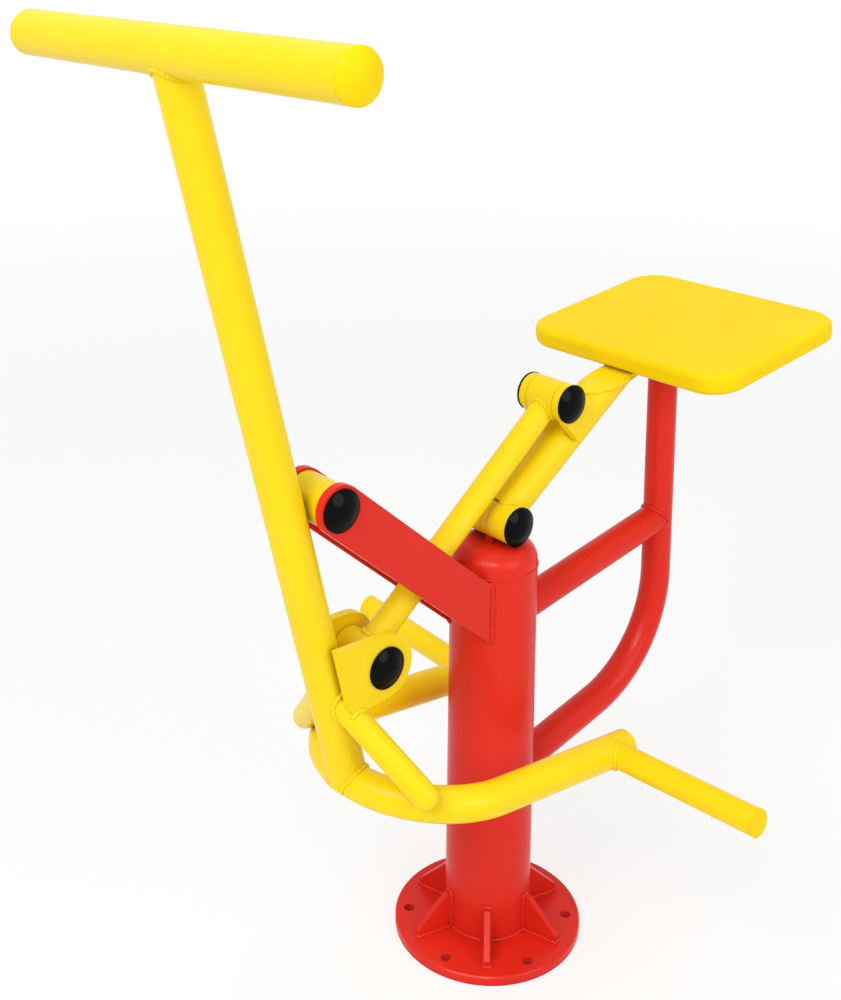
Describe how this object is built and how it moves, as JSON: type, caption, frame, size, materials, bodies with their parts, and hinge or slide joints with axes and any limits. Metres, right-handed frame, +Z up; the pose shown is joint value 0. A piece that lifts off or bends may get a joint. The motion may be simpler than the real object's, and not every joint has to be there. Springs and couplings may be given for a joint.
{
  "type": "outdoor horse rider machine",
  "caption": "Outdoor horse rider: a ground-bolted post carries a pivoted T-bar lever with foot pegs and, through a link, a rocking seat that rises as the bar is pulled.",
  "frame": {"origin": "centre of the flange's underside, on the ground", "axes": "+Z up along the post, +X forward to the handlebar, +Y to the rider's left"},
  "size_m": [1.0249, 0.724, 1.238],
  "materials": {
    "red_paint": "gloss powder coat",
    "yellow_paint": "gloss powder coat",
    "seat_yellow": "satin moulded",
    "cap_yellow": "satin moulded",
    "black_plastic": "gloss moulded",
    "rubber": "matt",
    "bronze": "turned",
    "steel": "zinc plated"
  },
  "bodies": {
    "stand": {"arm_cheek_left": "red_paint", "arm_cheek_right": "red_paint", "base_flange": "red_paint", "flange_rib_1": "red_paint", "flange_rib_2": "red_paint", "flange_rib_3": "red_paint", "flange_rib_4": "red_paint", "flange_rib_5": "red_paint", "flange_rib_6": "red_paint", "front_cap_left": "black_plastic", "front_cap_right": "black_plastic", "front_pin": "steel", "hub_saddle": "red_paint", "main_post": "red_paint", "post_dome": "red_paint", "rear_stop_tube": "red_paint", "rear_strut": "red_paint", "seat_bush": "bronze", "seat_hub": "yellow_paint", "stop_buffer": "rubber"},
    "handle_lever": {"foot_peg_left": "yellow_paint", "foot_peg_right": "yellow_paint", "fork_brace_left": "yellow_paint", "fork_brace_right": "yellow_paint", "fork_end_cap_left": "yellow_paint", "fork_end_cap_right": "yellow_paint", "fork_tube": "yellow_paint", "handlebar_cap_left": "cap_yellow", "handlebar_cap_right": "cap_yellow", "handlebar_tube": "yellow_paint", "lever_bush": "bronze", "lever_hub": "yellow_paint", "link_cheek_left": "yellow_paint", "link_cheek_right": "yellow_paint", "lower_cap_left": "black_plastic", "lower_cap_right": "black_plastic", "peg_plug_left": "cap_yellow", "peg_plug_right": "cap_yellow", "stem_tube": "yellow_paint"},
    "seat_lever": {"link_lug_left": "yellow_paint", "link_lug_right": "yellow_paint", "seat_arm_tube": "yellow_paint", "seat_bolt_1": "steel", "seat_bolt_2": "steel", "seat_bolt_3": "steel", "seat_bolt_4": "steel", "seat_cap_left": "black_plastic", "seat_cap_right": "black_plastic", "seat_eye_left": "yellow_paint", "seat_eye_right": "yellow_paint", "seat_mount": "yellow_paint", "seat_pad": "seat_yellow", "seat_pin": "steel", "upper_cap_left": "black_plastic", "upper_cap_right": "black_plastic", "upper_pin": "steel"},
    "link": {"link_lower_hub": "yellow_paint", "link_tube": "yellow_paint", "link_upper_bush": "bronze", "link_upper_hub": "yellow_paint"}
  },
  "joints": [
    {"name": "handle_swing", "type": "hinge", "parent": "stand", "child": "handle_lever", "pos_m": [0.28694, 0, 0.68273], "axis": [0, -1, 0], "range_deg": [0, 12]},
    {"name": "seat_rise", "type": "hinge", "parent": "stand", "child": "seat_lever", "pos_m": [-0.005, 0, 0.578], "axis": [0, 1, 0], "range_deg": [0, 28.7]},
    {"name": "link_turn", "type": "hinge", "parent": "seat_lever", "child": "link", "pos_m": [-0.10203, 0, 0.71992], "axis": [0, 1, 0], "range_deg": [-21.53, 0]}
  ],
  "couplings": [
    {"joint": "seat_rise", "follows": "handle_swing", "ratio": 2.3912},
    {"joint": "link_turn", "follows": "handle_swing", "ratio": -1.7938}
  ]
}
